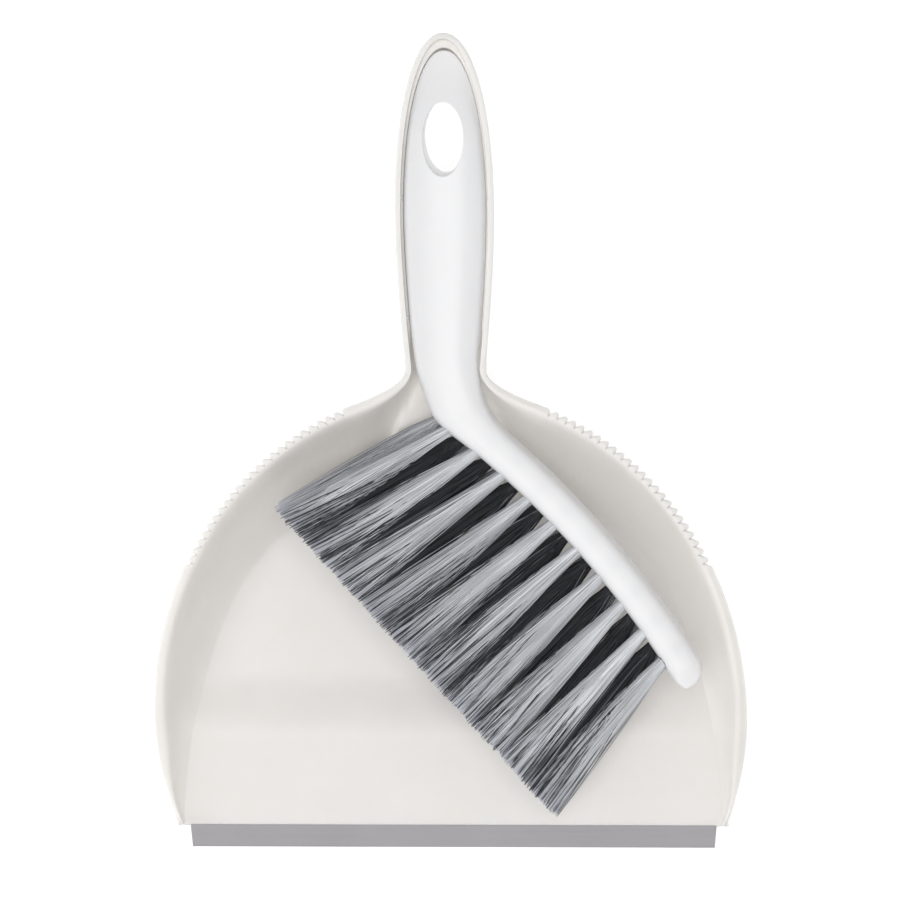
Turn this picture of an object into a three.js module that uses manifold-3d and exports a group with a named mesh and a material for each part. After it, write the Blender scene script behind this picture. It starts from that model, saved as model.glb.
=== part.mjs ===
import * as THREE from "three";
import { mergeVertices } from "three/addons/utils/BufferGeometryUtils.js";
import Module from "manifold-3d";

// Dust pan and brush set. Millimetres; the pan lies on z = 0 and its handle points to +Y.

// Pan outline, seen from above
const FRONT_Y = -153.8;
const RIM_CENTRE_Y = -110.5;
const RIM_HALF = 118.7;
const RIM_BACK = 131;
const RIM_FRONT = 110;
const NECK_FROM_Y = 14;
const NECK_TO_Y = 28;
const HANDLE_WIDE_Y = 89;
const HANDLE_HALF = 19.9;
const HANDLE_REACH = 71.5;
const SQUARENESS = 2.15;

// Pan heights and walls
const FLOOR_WALL = 2.4;
const HANDLE_WALL = 1.8;
const FRONT_TOP = 3.2;
const CREST_Y = -118;
const CREST_TOP = 7;
const FLAT_FROM_Y = -92;
const FLAT_TO_Y = -26;
const FLOOR_HALF = 107.8;
const FLANGE = 5;
const HANDLE_FLANGE = 2.4;
const FLANGE_DROOP = 1.8;
const CORNER_HEIGHT = 5;
const RIM_OVER_PLANE = 4;
const RIM_CURVE = 2.8;
const TROUGH_DEPTH = 13.5;
const TROUGH_INSET = 6.5;
const TROUGH_REACH = 56;
const SPINE_REACH = 40;
const LEDGE_FROM_Y = 32;
const LEDGE_TO_Y = 48;
const CLICK_RIBS_Y = [48, 95.7];
const CLICK_RIB_PROUD = 1;
const CLICK_RIB_HALF = 1.2;
const MOST_STRETCH = 1.7;

// Wall of the handle's trough in section: shares of the way out and up, with a ledge beside the brush
const LEDGE_OUT = [0, 0.4, 0.66, 0.75, 0.79, 0.96, 1];
const LEDGE_UP = [0, 0.03, 0.2, 0.5, 0.76, 0.78, 1];

// Comb in the rim
const COMB_FROM_Y = 12.6;
const COMB_TEETH = 24;
const COMB_PITCH = 3.86;
const COMB_DEPTH = 3;

// Hang hole, through both handles
const HOLE_Y = 120.6;
const HOLE_HALF_X = 8.2;
const HOLE_HALF_Y = 14.4;
const HOLE_MARGIN = 0.8;
const BRUSH_HOLE_Y = 120;

// Brush: it lies in a plane that rises towards the handle
const TILT = THREE.MathUtils.degToRad(6);
const PLANE_Z = 35.9;
const BRUSH_TIP_REACH = 65.4;
const BRUSH_GAP = 3.7;
const HANDLE_THICK = 10.5;
const BLOCK_THICK = 12;
const BRUSH_WALL = 2.6;
const INNER_RIBS_Y = [48, 64, 80, 96];
const COLLAR_WALL = 2.4;

// Tuft face of the block: an arc between two points of the brush plane
const FACE_FROM = [-5.8, 8.65];
const FACE_TO = [88.2, -93.1];
const FACE_BOW = 6.6;
const BLOCK_WIDE = 14;
const ROW_STEP = 7;
const ROOT_RADIUS = 2.5;
const ROOT_HOLE_RADIUS = 2.8;
const ROOT_DEPTH = 9;
const HOLE_DEPTH = 9.6;
const TIPS_FROM = [-68.5, -27.2];
const TIPS_TO = [42.7, -150.7];

// Front lip
const LIP_HALF = 105.4;
const LIP_FRONT_Y = -163;

// Everything moves by this much along Y, so that the origin is under the middle of the set
const CENTRE_SHIFT = -(LIP_FRONT_Y + HANDLE_WIDE_Y + HANDLE_REACH) / 2;

const wasm = await Module();
wasm.setup();

const clamp01 = (t) => Math.min(1, Math.max(0, t));
const lerp = (a, b, t) => a + (b - a) * t;
const lerpPoint = (a, b, t) => a.map((v, i) => lerp(v, b[i], t));
const smooth = (t) => clamp01(t) ** 2 * (3 - 2 * clamp01(t));

// ---------- solids ----------

// A three.js geometry as a manifold-3d solid.
function solid(geometry) {
  const bare = new THREE.BufferGeometry();
  bare.setAttribute("position", geometry.getAttribute("position").clone());
  if (geometry.index) bare.setIndex(geometry.index.clone());
  const merged = mergeVertices(bare, 1e-4);
  const index = merged.index.array;
  const kept = [];
  for (let i = 0; i < index.length; i += 3) {
    const [a, b, c] = [index[i], index[i + 1], index[i + 2]];
    if (a !== b && b !== c && c !== a) kept.push(a, b, c);
  }
  const vertProperties = merged.attributes.position.array;
  return new wasm.Manifold(new wasm.Mesh({ numProp: 3, vertProperties, triVerts: new Uint32Array(kept) }));
}

function geometryOf(body) {
  const mesh = body.getMesh();
  const geometry = new THREE.BufferGeometry();
  geometry.setAttribute("position", new THREE.BufferAttribute(mesh.vertProperties.slice(), 3));
  geometry.setIndex(new THREE.BufferAttribute(mesh.triVerts.slice(), 1));
  const flat = geometry.toNonIndexed();
  flat.computeVertexNormals();
  return flat;
}

// Rings of points, skinned in order and closed at both ends.
function loft(rings) {
  const points = [];
  const index = [];
  const around = rings[0].length;
  rings.forEach((ring) => ring.forEach((p) => points.push(...p)));
  for (let i = 0; i < rings.length - 1; i++) {
    for (let j = 0; j < around; j++) {
      const a = i * around + j;
      const b = i * around + ((j + 1) % around);
      index.push(a, b, b + around, a, b + around, a + around);
    }
  }
  [0, rings.length - 1].forEach((i, last) => {
    const middle = points.length / 3;
    const sum = rings[i].reduce((s, p) => s.map((v, k) => v + p[k]), [0, 0, 0]);
    points.push(...sum.map((v) => v / around));
    for (let j = 0; j < around; j++) {
      const a = i * around + j;
      const b = i * around + ((j + 1) % around);
      if (last) index.push(middle, a, b);
      else index.push(middle, b, a);
    }
  });
  const geometry = new THREE.BufferGeometry();
  geometry.setAttribute("position", new THREE.Float32BufferAttribute(points, 3));
  geometry.setIndex(index);
  const made = solid(geometry);
  if (made.volume() > 0) return made;
  for (let i = 0; i < index.length; i += 3) [index[i], index[i + 1]] = [index[i + 1], index[i]];
  geometry.setIndex(index);
  return solid(geometry);
}

// A flat outline in XY, raised from z0 to z1.
function prism(outline, z0, z1) {
  const shape = new THREE.Shape(outline.map(([x, y]) => new THREE.Vector2(x, y)));
  const geometry = new THREE.ExtrudeGeometry(shape, { depth: z1 - z0, bevelEnabled: false });
  return solid(geometry.translate(0, 0, z0));
}

// Outline of a hang hole, this much larger all round.
function hangHole(y, margin) {
  const turns = Array.from({ length: 32 }, (_, i) => (2 * Math.PI * i) / 32);
  const [halfX, halfY] = [HOLE_HALF_X + margin, HOLE_HALF_Y + margin];
  return turns.map((turn) => [halfX * Math.cos(turn), y + halfY * Math.sin(turn)]);
}

function box(size, place) {
  return solid(new THREE.BoxGeometry(...size).translate(...place));
}

// ---------- pan: the curves that shape it ----------

const planeAt = (y) => PLANE_Z + Math.tan(TILT) * y;

function ovalHalf(y) {
  const reach = y > RIM_CENTRE_Y ? RIM_BACK : RIM_FRONT;
  return RIM_HALF * Math.sqrt(1 - ((y - RIM_CENTRE_Y) / reach) ** 2);
}

function handleHalf(y) {
  return HANDLE_HALF - 0.0054 * Math.max(0, HANDLE_WIDE_Y - y) ** 1.6;
}

// Half width of the rim: an oval bowl, a hollow curve at the neck, then the handle.
function rimHalf(y) {
  if (y <= NECK_FROM_Y) return ovalHalf(y);
  if (y >= NECK_TO_Y) return handleHalf(y);
  const span = NECK_TO_Y - NECK_FROM_Y;
  const t = (y - NECK_FROM_Y) / span;
  const slope = (ovalHalf(NECK_FROM_Y) - ovalHalf(NECK_FROM_Y - 0.01)) / 0.01;
  const start = 2 * t ** 3 - 3 * t ** 2 + 1;
  const lean = t ** 3 - 2 * t ** 2 + t;
  return ovalHalf(NECK_FROM_Y) * start + slope * span * lean + handleHalf(NECK_TO_Y) * (1 - start);
}

// Height of the rim: low at the front corners, rising fast, then in line with the brush.
function rimTop(y) {
  const length = 30 - FRONT_Y;
  const s = clamp01((y - FRONT_Y) / length);
  const rise = planeAt(30) + RIM_OVER_PLANE - CORNER_HEIGHT - Math.tan(TILT) * length;
  return CORNER_HEIGHT + Math.tan(TILT) * (y - FRONT_Y) + rise * (1 - (1 - s) ** RIM_CURVE);
}

const troughTop = (y) => planeAt(y) - TROUGH_DEPTH + 2.5 * smooth((y - 4) / 20);

// Upper surface of the floor: front ramp up to a crest, down to the flat, up the back into the handle.
function floorTop(y) {
  if (y < CREST_Y) return lerp(FRONT_TOP, CREST_TOP, (y - FRONT_Y) / (CREST_Y - FRONT_Y));
  if (y < FLAT_FROM_Y) return lerp(CREST_TOP, FLOOR_WALL, smooth((y - CREST_Y) / (FLAT_FROM_Y - CREST_Y)));
  return lerp(FLOOR_WALL, troughTop(y), smooth((y - FLAT_TO_Y) / 34));
}

// Half width of the floor, where the walls start.
function floorHalf(y) {
  if (y <= FLAT_TO_Y) return FLOOR_HALF * (1 - ((y - FRONT_Y) / 128.6) ** 1.6) ** 0.25;
  const flare = 17 * smooth(1 - (y + 15) / 45);
  const back = 7.2 * Math.max(0, (-12 - y) / 14) ** 2;
  return y < 30 ? 9.8 + flare + back : handleHalf(y) - TROUGH_INSET;
}

function tipPoint(half, reach, turn) {
  const x = half * Math.max(0, Math.cos(turn)) ** (2 / SQUARENESS);
  return [x, HANDLE_WIDE_Y + reach * Math.sin(turn) ** (2 / SQUARENESS)];
}

// One crossing line of the pan's right half: spine, floor edge and rim, from above.
function bowlLine(y) {
  const t = (y - FLAT_FROM_Y) / (NECK_FROM_Y - FLAT_FROM_Y);
  const run = FLAT_TO_Y - FLAT_FROM_Y;
  const steep = (NECK_FROM_Y - FLAT_FROM_Y) / run;
  const back = y > FLAT_FROM_Y ? FLAT_FROM_Y + run * (steep * t + (1 - steep) * t * t) : y;
  const spine = [0, back + 0.8 * smooth(t)];
  return { spine, floor: [floorHalf(back), back], rim: [rimHalf(y), y], trough: 0 };
}

function neckLine(t) {
  const y = lerp(FLAT_TO_Y, 18, t);
  const rimY = lerp(NECK_FROM_Y, NECK_TO_Y, t);
  const spineY = lerp(FLAT_TO_Y + 0.8, 18, t);
  return { spine: [0, spineY], floor: [floorHalf(y), y], rim: [rimHalf(rimY), rimY], trough: smooth(t) };
}

function handleLine(rimY) {
  const y = rimY - 10 * (1 - smooth((rimY - NECK_TO_Y) / 45));
  return { spine: [0, y], floor: [floorHalf(y), y], rim: [rimHalf(rimY), rimY], trough: 1 };
}

function tipLine(turn) {
  const spine = [0, tipPoint(1, SPINE_REACH, turn)[1]];
  const floor = tipPoint(HANDLE_HALF - TROUGH_INSET, TROUGH_REACH, turn);
  return { spine, floor, rim: tipPoint(HANDLE_HALF, HANDLE_REACH, turn), trough: 1 };
}

const steps = (n, make) => Array.from({ length: n }, (_, i) => make((i + 1) / n));

function panLines() {
  return [
    bowlLine(FRONT_Y),
    ...steps(3, (t) => bowlLine(lerp(FRONT_Y, CREST_Y, t))),
    ...steps(4, (t) => bowlLine(lerp(CREST_Y, FLAT_FROM_Y, t))),
    ...steps(16, (t) => bowlLine(lerp(FLAT_FROM_Y, NECK_FROM_Y, 1 - (1 - t) ** 1.4))),
    ...steps(9, (t) => neckLine(t)),
    ...steps(8, (t) => handleLine(lerp(NECK_TO_Y, HANDLE_WIDE_Y, t))),
    ...steps(9, (t) => tipLine((t * Math.PI) / 2)),
  ];
}

// How wide the turned-out edge is at each crossing line.
function flangeWidth(line) {
  const [, y] = line.rim;
  const front = lerp(1, FLANGE, smooth((y - FRONT_Y) / 34));
  return lerp(front, HANDLE_FLANGE, line.trough);
}

// Where the wall ends and the turned-out edge starts: the rim moved inward, square to itself.
function wallEnd(lines, i) {
  const here = lines[i].rim;
  const before = lines[Math.max(0, i - 1)].rim;
  const after = i + 1 < lines.length ? lines[i + 1].rim : [-before[0], before[1]];
  const along = new THREE.Vector2(after[0] - before[0], after[1] - before[1]).normalize();
  const width = flangeWidth(lines[i]);
  return [here[0] - along.y * width, here[1] + along.x * width];
}

// Points of one crossing line from the spine to the rim.
function crossing(lines, i) {
  const { spine, floor, rim, trough } = lines[i];
  const wall = wallEnd(lines, i);
  const low = floorTop(floor[1]);
  const high = rimTop(rim[1]);
  const droop = lerp(FLANGE_DROOP * smooth((rim[1] - FRONT_Y) / 34), 0.3, trough);
  const ledge = smooth((rim[1] - LEDGE_FROM_Y) / (LEDGE_TO_Y - LEDGE_FROM_Y));
  const points = [];
  [0, 0.5].forEach((t) => {
    const [x, y] = lerpPoint(spine, floor, t);
    points.push([x, y, lerp(floorTop(spine[1]), low, t)]);
  });
  for (let k = 0; k <= 6; k++) {
    const t = k / 6;
    const bend = (Math.PI * t) / 2;
    const bowlOut = 0.45 * t + 0.55 * Math.sin(bend);
    const bowlUp = 0.45 * t + 0.55 * (1 - Math.cos(bend));
    const out = lerp(bowlOut, lerp(1 - (1 - t) ** 4, LEDGE_OUT[k], ledge), trough);
    const up = lerp(bowlUp, lerp(t ** 1.25, LEDGE_UP[k], ledge), trough);
    const [x, y] = lerpPoint(floor, wall, out);
    points.push([x, y, lerp(low, high, up)]);
  }
  [0.55, 1].forEach((t) => points.push([...lerpPoint(wall, rim, t), high - droop * t * t]));
  return points;
}

// Vertices moved square to all the faces round them, so the sheet gets an even wall.
function thickened(points, faces, wallOf) {
  const sums = points.map(() => ({ m: new Float64Array(9), r: new Float64Array(3) }));
  const [a, b, c] = [new THREE.Vector3(), new THREE.Vector3(), new THREE.Vector3()];
  faces.forEach((face) => {
    [a, b, c].forEach((v, k) => v.fromArray(points[face[k]]));
    const n = b.sub(a).cross(c.sub(a)).normalize().toArray();
    face.forEach((v) => {
      for (let i = 0; i < 3; i++) {
        sums[v].r[i] += n[i];
        for (let j = 0; j < 3; j++) sums[v].m[3 * i + j] += n[i] * n[j];
      }
    });
  });
  return points.map((p, v) => {
    const { m, r } = sums[v];
    const matrix = new THREE.Matrix3().set(...m);
    [0, 4, 8].forEach((k) => (matrix.elements[k] += 1e-3));
    const move = new THREE.Vector3(...r).applyMatrix3(matrix.invert());
    const wall = wallOf(p);
    const reach = Math.min(move.length(), MOST_STRETCH);
    move.setLength(reach * wall);
    const flat = Math.abs(p[2] - FLOOR_WALL) < 1e-6;
    return [p[0] - move.x, p[1] - move.y, flat ? 0 : p[2] - move.z];
  });
}

function panShell() {
  const lines = panLines();
  const halves = lines.map((_, i) => crossing(lines, i));
  const across = 2 * halves[0].length - 1;
  const points = [];
  const known = new Map();
  const number = (p) => {
    const key = p.map((v) => Math.round(v * 2e3)).join();
    if (!known.has(key)) known.set(key, points.push(p) - 1);
    return known.get(key);
  };
  const grid = halves.map((half) => {
    const left = half.slice(1).reverse().map(([x, y, z]) => [-x, y, z]);
    return [...left, ...half].map(number);
  });
  const faces = [];
  const addFace = (...f) => new Set(f).size === 3 && faces.push(f);
  for (let i = 0; i < grid.length - 1; i++) {
    for (let j = 0; j < across - 1; j++) {
      const [p, q, r, s] = [grid[i][j], grid[i][j + 1], grid[i + 1][j + 1], grid[i + 1][j]];
      if (j < (across - 1) / 2) {
        addFace(p, q, r);
        addFace(p, r, s);
      } else {
        addFace(p, q, s);
        addFace(q, r, s);
      }
    }
  }
  const wallOf = (p) => lerp(FLOOR_WALL, HANDLE_WALL, smooth((p[1] - 10) / 30));
  const below = thickened(points, faces, wallOf);
  const n = points.length;
  const index = [];
  const edges = new Map();
  faces.forEach(([p, q, r]) => {
    index.push(p, q, r, p + n, r + n, q + n);
    [[p, q], [q, r], [r, p]].forEach(([u, v]) => {
      if (edges.has(v + "," + u)) edges.delete(v + "," + u);
      else edges.set(u + "," + v, [u, v]);
    });
  });
  edges.forEach(([u, v]) => index.push(v, u, u + n, v, u + n, v + n));
  const geometry = new THREE.BufferGeometry();
  geometry.setAttribute("position", new THREE.Float32BufferAttribute([...points, ...below].flat(), 3));
  geometry.setIndex(index);
  return solid(geometry);
}

// ---------- pan: cuts and small features ----------

// A point of the right rim at a length along it, counted from the comb's first tooth.
function rimWalk() {
  const walk = [];
  let length = 0;
  for (let y = COMB_FROM_Y; y > -70; y -= 0.25) {
    const x = rimHalf(y);
    if (walk.length) length += Math.hypot(x - walk.at(-1).x, 0.25);
    walk.push({ x, y, length });
  }
  return (wanted) => {
    const i = walk.findIndex((w) => w.length >= wanted);
    const [p, q] = [walk[Math.max(0, i - 1)], walk[i + 1]];
    const along = new THREE.Vector2(q.x - p.x, q.y - p.y).normalize();
    return { x: walk[i].x, y: walk[i].y, out: [-along.y, along.x] };
  };
}

function combNotches() {
  const at = rimWalk();
  const corner = (length, outward) => {
    const { x, y, out } = at(length);
    return [x + out[0] * outward, y + out[1] * outward];
  };
  const notches = [];
  for (let k = 0; k < COMB_TEETH; k++) {
    const from = 0.3 + k * COMB_PITCH;
    const open = corner(from, 1.2);
    const valley = corner(from + 0.9, -COMB_DEPTH);
    const close = corner(from + 0.97 * COMB_PITCH, 1.2);
    const top = rimTop(open[1]);
    [1, -1].forEach((side) => {
      const outline = [open, valley, close].map(([x, y]) => [side * x, y]);
      notches.push(prism(outline, top - 6, top + 3));
    });
  }
  return notches;
}

// Four ribs inside the handle that the brush handle clicks past.
function clickRibs() {
  const ribs = [];
  CLICK_RIBS_Y.forEach((y) => {
    const top = rimTop(y);
    const wall = rimHalf(y) - HANDLE_FLANGE;
    [1, -1].forEach((side) => {
      const half = CLICK_RIB_HALF;
      const outline = (reach) => [[0.9, half], [0.9, -half], [-reach, -half * 0.6], [-reach, half * 0.6]];
      const ring = (z, reach) => outline(reach).map(([x, dy]) => [side * (wall + x), y + dy, z]);
      ribs.push(loft([ring(top - 7, 0.1), ring(top - 3, CLICK_RIB_PROUD), ring(top - 0.5, 0.3)]));
    });
  });
  return ribs;
}

function panBody() {
  let body = panShell();
  combNotches().forEach((notch) => (body = body.subtract(notch)));
  clickRibs().forEach((rib) => (body = body.add(rib)));
  body = body.subtract(prism(hangHole(HOLE_Y, HOLE_MARGIN), 0, 90));
  return body.subtract(box([2 * LIP_HALF + 0.6, 8.4, 1], [0, FRONT_Y, 2]));
}

function lipStrip() {
  const y = FRONT_Y;
  const profile = [
    [y + 3.9, 1.62], [y + 3.9, 2.38], [y - 0.3, 2.38], [y - 0.3, 3.1], [y - 2, 2.7],
    [LIP_FRONT_Y + 0.3, 0.95], [LIP_FRONT_Y, 0.7], [LIP_FRONT_Y, 0.1], [LIP_FRONT_Y + 0.3, 0],
    [y - 3, 0], [y - 0.3, 0.9], [y - 0.3, 1.62],
  ];
  const slant = (py) => LIP_HALF - 0.8 * clamp01((y - py) / (y - LIP_FRONT_Y));
  return loft([-1, 1].map((side) => profile.map(([py, pz]) => [side * slant(py), py, pz])));
}

// ---------- brush, in its own plane: x, y along the handle, z across the plane ----------

function inPlace(body) {
  const turn = new THREE.Matrix4().makeRotationX(TILT).setPosition(0, 0, PLANE_Z);
  const geometry = geometryOf(body).applyMatrix4(turn);
  return solid(geometry);
}

// A point of the tuft face, t from 0 to 1 along it, and the way out of the block's back.
function facePoint(t) {
  const chord = new THREE.Vector2(FACE_TO[0] - FACE_FROM[0], FACE_TO[1] - FACE_FROM[1]);
  const length = chord.length();
  const radius = (length / 2) ** 2 / (2 * FACE_BOW) + FACE_BOW / 2;
  const half = Math.asin(length / 2 / radius);
  const turn = lerp(-half, half, t);
  const along = chord.clone().divideScalar(length);
  const back = new THREE.Vector2(-along.y, along.x);
  const s = length / 2 + radius * Math.sin(turn);
  const h = radius * (Math.cos(turn) - Math.cos(half));
  const x = FACE_FROM[0] + along.x * s + back.x * h;
  const y = FACE_FROM[1] + along.y * s + back.y * h;
  const outX = back.x * Math.cos(turn) + along.x * Math.sin(turn);
  const outY = back.y * Math.cos(turn) + along.y * Math.sin(turn);
  return { x, y, out: [outX, outY], along: [outY, -outX] };
}

// Crossing lines of the brush: inner edge, outer edge, half thickness and squareness.
function brushLines() {
  const lines = [];
  const handle = HANDLE_HALF - BRUSH_GAP;
  for (let i = 0; i <= 9; i++) {
    const turn = ((1 - (i / 9) ** 1.2) * Math.PI) / 2;
    const [x, y] = tipPoint(handle, BRUSH_TIP_REACH, turn);
    const thick = HANDLE_THICK * clamp01(Math.cos(turn)) ** 0.45;
    lines.push({ inner: [-x, y], outer: [x, y], thick, square: 2.5 });
  }
  for (let y = 80; y >= 38; y -= 7) {
    const x = handleHalf(y) - BRUSH_GAP;
    lines.push({ inner: [-x, y], outer: [x, y], thick: HANDLE_THICK, square: 2.5 });
  }
  const neck = [
    [-12.4, 31, 12.8, 31.5, 10.6], [-10.9, 25, 13.2, 26, 10.8], [-9.1, 19, 14, 20.6, 11],
    [-7.2, 13.8, 15, 16.6, 11.4], [-4.8, 8.8, 16.2, 13.6, 11.7], [0.4, 3.4, 17.4, 11.6, 12],
  ];
  neck.forEach(([ix, iy, ox, oy, thick], i) => {
    lines.push({ inner: [ix, iy], outer: [ox, oy], thick, square: lerp(2.5, 3.6, i / 5) });
  });
  for (let i = 0; i <= 12; i++) {
    const t = lerp(0.13, 1, i / 12);
    const { x, y, out } = facePoint(t);
    const wide = lerp(BLOCK_WIDE, 12.8, t) + 1.4 * Math.max(0, 0.2 - t) / 0.07;
    const outer = [x + out[0] * wide, y + out[1] * wide];
    lines.push({ inner: [x, y], outer, thick: lerp(BLOCK_THICK, 11, t), square: 4 });
  }
  const end = facePoint(1);
  for (let i = 1; i <= 6; i++) {
    const turn = (i / 6) * (Math.PI / 2);
    const ahead = 8.8 * Math.sin(turn);
    const keep = Math.cos(turn) ** 0.8;
    const at = (side) => {
      const across = 4.2 + (side - 4.2) * keep;
      return [0, 1].map((k) => [end.x, end.y][k] + end.along[k] * ahead + end.out[k] * across);
    };
    lines.push({ inner: at(0), outer: at(12.8), thick: 11 * Math.cos(turn) ** 0.4, square: 4 });
  }
  return lines;
}

function ovalRing(line, sides) {
  const { inner, outer, thick, square } = line;
  const middle = lerpPoint(inner, outer, 0.5);
  const half = [(outer[0] - inner[0]) / 2, (outer[1] - inner[1]) / 2];
  const power = (v) => Math.sign(v) * Math.abs(v) ** (2 / square);
  return Array.from({ length: sides }, (_, i) => {
    const turn = (2 * Math.PI * (i + 0.5)) / sides;
    const c = power(Math.cos(turn));
    return [middle[0] + half[0] * c, middle[1] + half[1] * c, thick * power(Math.sin(turn))];
  });
}

// The hollow inside the handle, open below.
function handleHollow() {
  const rings = [];
  for (let i = 0; i <= 12; i++) {
    const y = lerp(141, 33, i / 12);
    const reach = Math.max(0, y - HANDLE_WIDE_Y) / (BRUSH_TIP_REACH - BRUSH_WALL);
    const wide = (HANDLE_HALF - BRUSH_GAP - BRUSH_WALL) * (1 - reach ** SQUARENESS) ** (1 / SQUARENESS);
    const half = y > HANDLE_WIDE_Y ? wide : handleHalf(y) - BRUSH_GAP - BRUSH_WALL;
    const top = HANDLE_THICK * (1 - reach ** 4 * 0.45) - BRUSH_WALL - 0.4;
    rings.push([
      [-half, y, -20], [half, y, -20], [half, y, top - 5], [half * 0.62, y, top],
      [-half * 0.62, y, top], [-half, y, top - 5],
    ]);
  }
  let hollow = loft(rings);
  hollow = hollow.subtract(prism(hangHole(BRUSH_HOLE_Y, COLLAR_WALL), -30, 30));
  INNER_RIBS_Y.forEach((y) => {
    hollow = hollow.subtract(box([40, 2, 30], [0, y, 6]));
  });
  return hollow;
}

// A frame whose y axis runs along a tuft from root to tip.
function alongTuft(tuft) {
  const [dx, dy] = tuft.way;
  const frame = new THREE.Matrix4().makeBasis(
    new THREE.Vector3(-dy, dx, 0),
    new THREE.Vector3(dx, dy, 0),
    new THREE.Vector3(0, 0, -1),
  );
  return frame.setPosition(tuft.root[0], tuft.root[1], tuft.z);
}

function tuftRow(name, count, first, pitch, z, tone) {
  return Array.from({ length: count }, (_, i) => {
    const { x, y } = facePoint(first + pitch * i);
    const tip = lerpPoint(TIPS_FROM, TIPS_TO, (i + 0.5) / count);
    const length = Math.hypot(tip[0] - x, tip[1] - y);
    const way = [(tip[0] - x) / length, (tip[1] - y) / length];
    const half = Math.hypot(TIPS_TO[0] - TIPS_FROM[0], TIPS_TO[1] - TIPS_FROM[1]) / count / 2 - 0.25;
    const number = String(i + 1).padStart(2, "0");
    return { name: name + "_" + number, root: [x, y], tip, way, length, half, z, tone };
  });
}

const tufts = [
  ...tuftRow("tuft_top", 10, 0.055, 0.1005, ROW_STEP, "light"),
  ...tuftRow("tuft_middle", 9, 0.105, 0.1005, 0, "dark"),
  ...tuftRow("tuft_bottom", 9, 0.02, 0.1165, -ROW_STEP, "light"),
];

function rootHole(tuft) {
  const hole = new THREE.CylinderGeometry(ROOT_HOLE_RADIUS, ROOT_HOLE_RADIUS, HOLE_DEPTH + 8, 12);
  return solid(hole.translate(0, 8 - (HOLE_DEPTH + 8) / 2, 0).applyMatrix4(alongTuft(tuft)));
}

// A bundle of bristles as one body: a round root in its hole, spreading to a flat trimmed tip.
function tuftBody(tuft) {
  const tipWay = [TIPS_TO[0] - TIPS_FROM[0], TIPS_TO[1] - TIPS_FROM[1]];
  const span = Math.hypot(...tipWay);
  const stops = [-ROOT_DEPTH, 0, 6, 20, 46, tuft.length];
  const rings = stops.map((at) => {
    const t = clamp01(at / tuft.length);
    const spread = clamp01(t) ** 0.85;
    const wide = lerp(ROOT_RADIUS, tuft.half, spread);
    const thick = lerp(ROOT_RADIUS, ROW_STEP / 2 - 0.2, spread);
    const centre = [tuft.root[0] + tuft.way[0] * at, tuft.root[1] + tuft.way[1] * at];
    const side = [-tuft.way[1], tuft.way[0]];
    const mixed = [0, 1].map((k) => lerp(side[k], tipWay[k] / span, t));
    const size = Math.hypot(...mixed);
    const square = lerp(2, 3.4, spread);
    return Array.from({ length: 10 }, (_, j) => {
      const turn = (2 * Math.PI * (j + 0.5)) / 10;
      const power = (v) => Math.sign(v) * Math.abs(v) ** (2 / square);
      const across = (wide * power(Math.cos(turn))) / size;
      const z = tuft.z + thick * power(Math.sin(turn));
      return [centre[0] + mixed[0] * across, centre[1] + mixed[1] * across, z];
    });
  });
  const slot = new THREE.BoxGeometry(8, 3.2, 0.9).translate(0, -ROOT_DEPTH + 0.8, 0);
  return loft(rings).subtract(solid(slot.applyMatrix4(alongTuft(tuft))));
}

function anchorBody(tuft) {
  const bar = new THREE.BoxGeometry(4.8, 1.6, 0.5).translate(0, -ROOT_DEPTH + 1, 0);
  return solid(bar.applyMatrix4(alongTuft(tuft)));
}

function brushBody() {
  let body = loft(brushLines().map((line) => ovalRing(line, 20)));
  body = body.subtract(handleHollow());
  body = body.subtract(prism(hangHole(BRUSH_HOLE_Y, 0), -30, 30));
  tufts.forEach((tuft) => (body = body.subtract(rootHole(tuft))));
  return body;
}

// ---------- materials ----------

const panPlastic = () => new THREE.MeshStandardMaterial({ color: 0xece9e4, roughness: 0.45, metalness: 0 });
const brushPlastic = () => new THREE.MeshStandardMaterial({ color: 0xf5f5f7, roughness: 0.25, metalness: 0 });
const lipRubber = () => new THREE.MeshStandardMaterial({ color: 0xa09da0, roughness: 0.7, metalness: 0 });
const lightBristle = () => new THREE.MeshStandardMaterial({ color: 0xc5c8d2, roughness: 0.55, metalness: 0 });
const darkBristle = () => new THREE.MeshStandardMaterial({ color: 0x2c2f35, roughness: 0.55, metalness: 0 });
const anchorSteel = () => new THREE.MeshStandardMaterial({ color: 0xb9bcc0, roughness: 0.35, metalness: 1 });

// ---------- assembly ----------

const group = new THREE.Group();
group.position.y = CENTRE_SHIFT;

function addPart(name, body, material) {
  const mesh = new THREE.Mesh(geometryOf(body), material);
  mesh.name = name;
  group.add(mesh);
}

addPart("pan_body", panBody(), panPlastic());
addPart("pan_lip", lipStrip(), lipRubber());
addPart("brush_body", inPlace(brushBody()), brushPlastic());
tufts.forEach((tuft) => {
  const material = tuft.tone === "light" ? lightBristle() : darkBristle();
  addPart(tuft.name, inPlace(tuftBody(tuft)), material);
  addPart(tuft.name.replace("tuft", "anchor"), inPlace(anchorBody(tuft)), anchorSteel());
});

export default group;
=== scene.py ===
import math

import bmesh
import bpy
import numpy as np
from mathutils import Matrix, Vector


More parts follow.
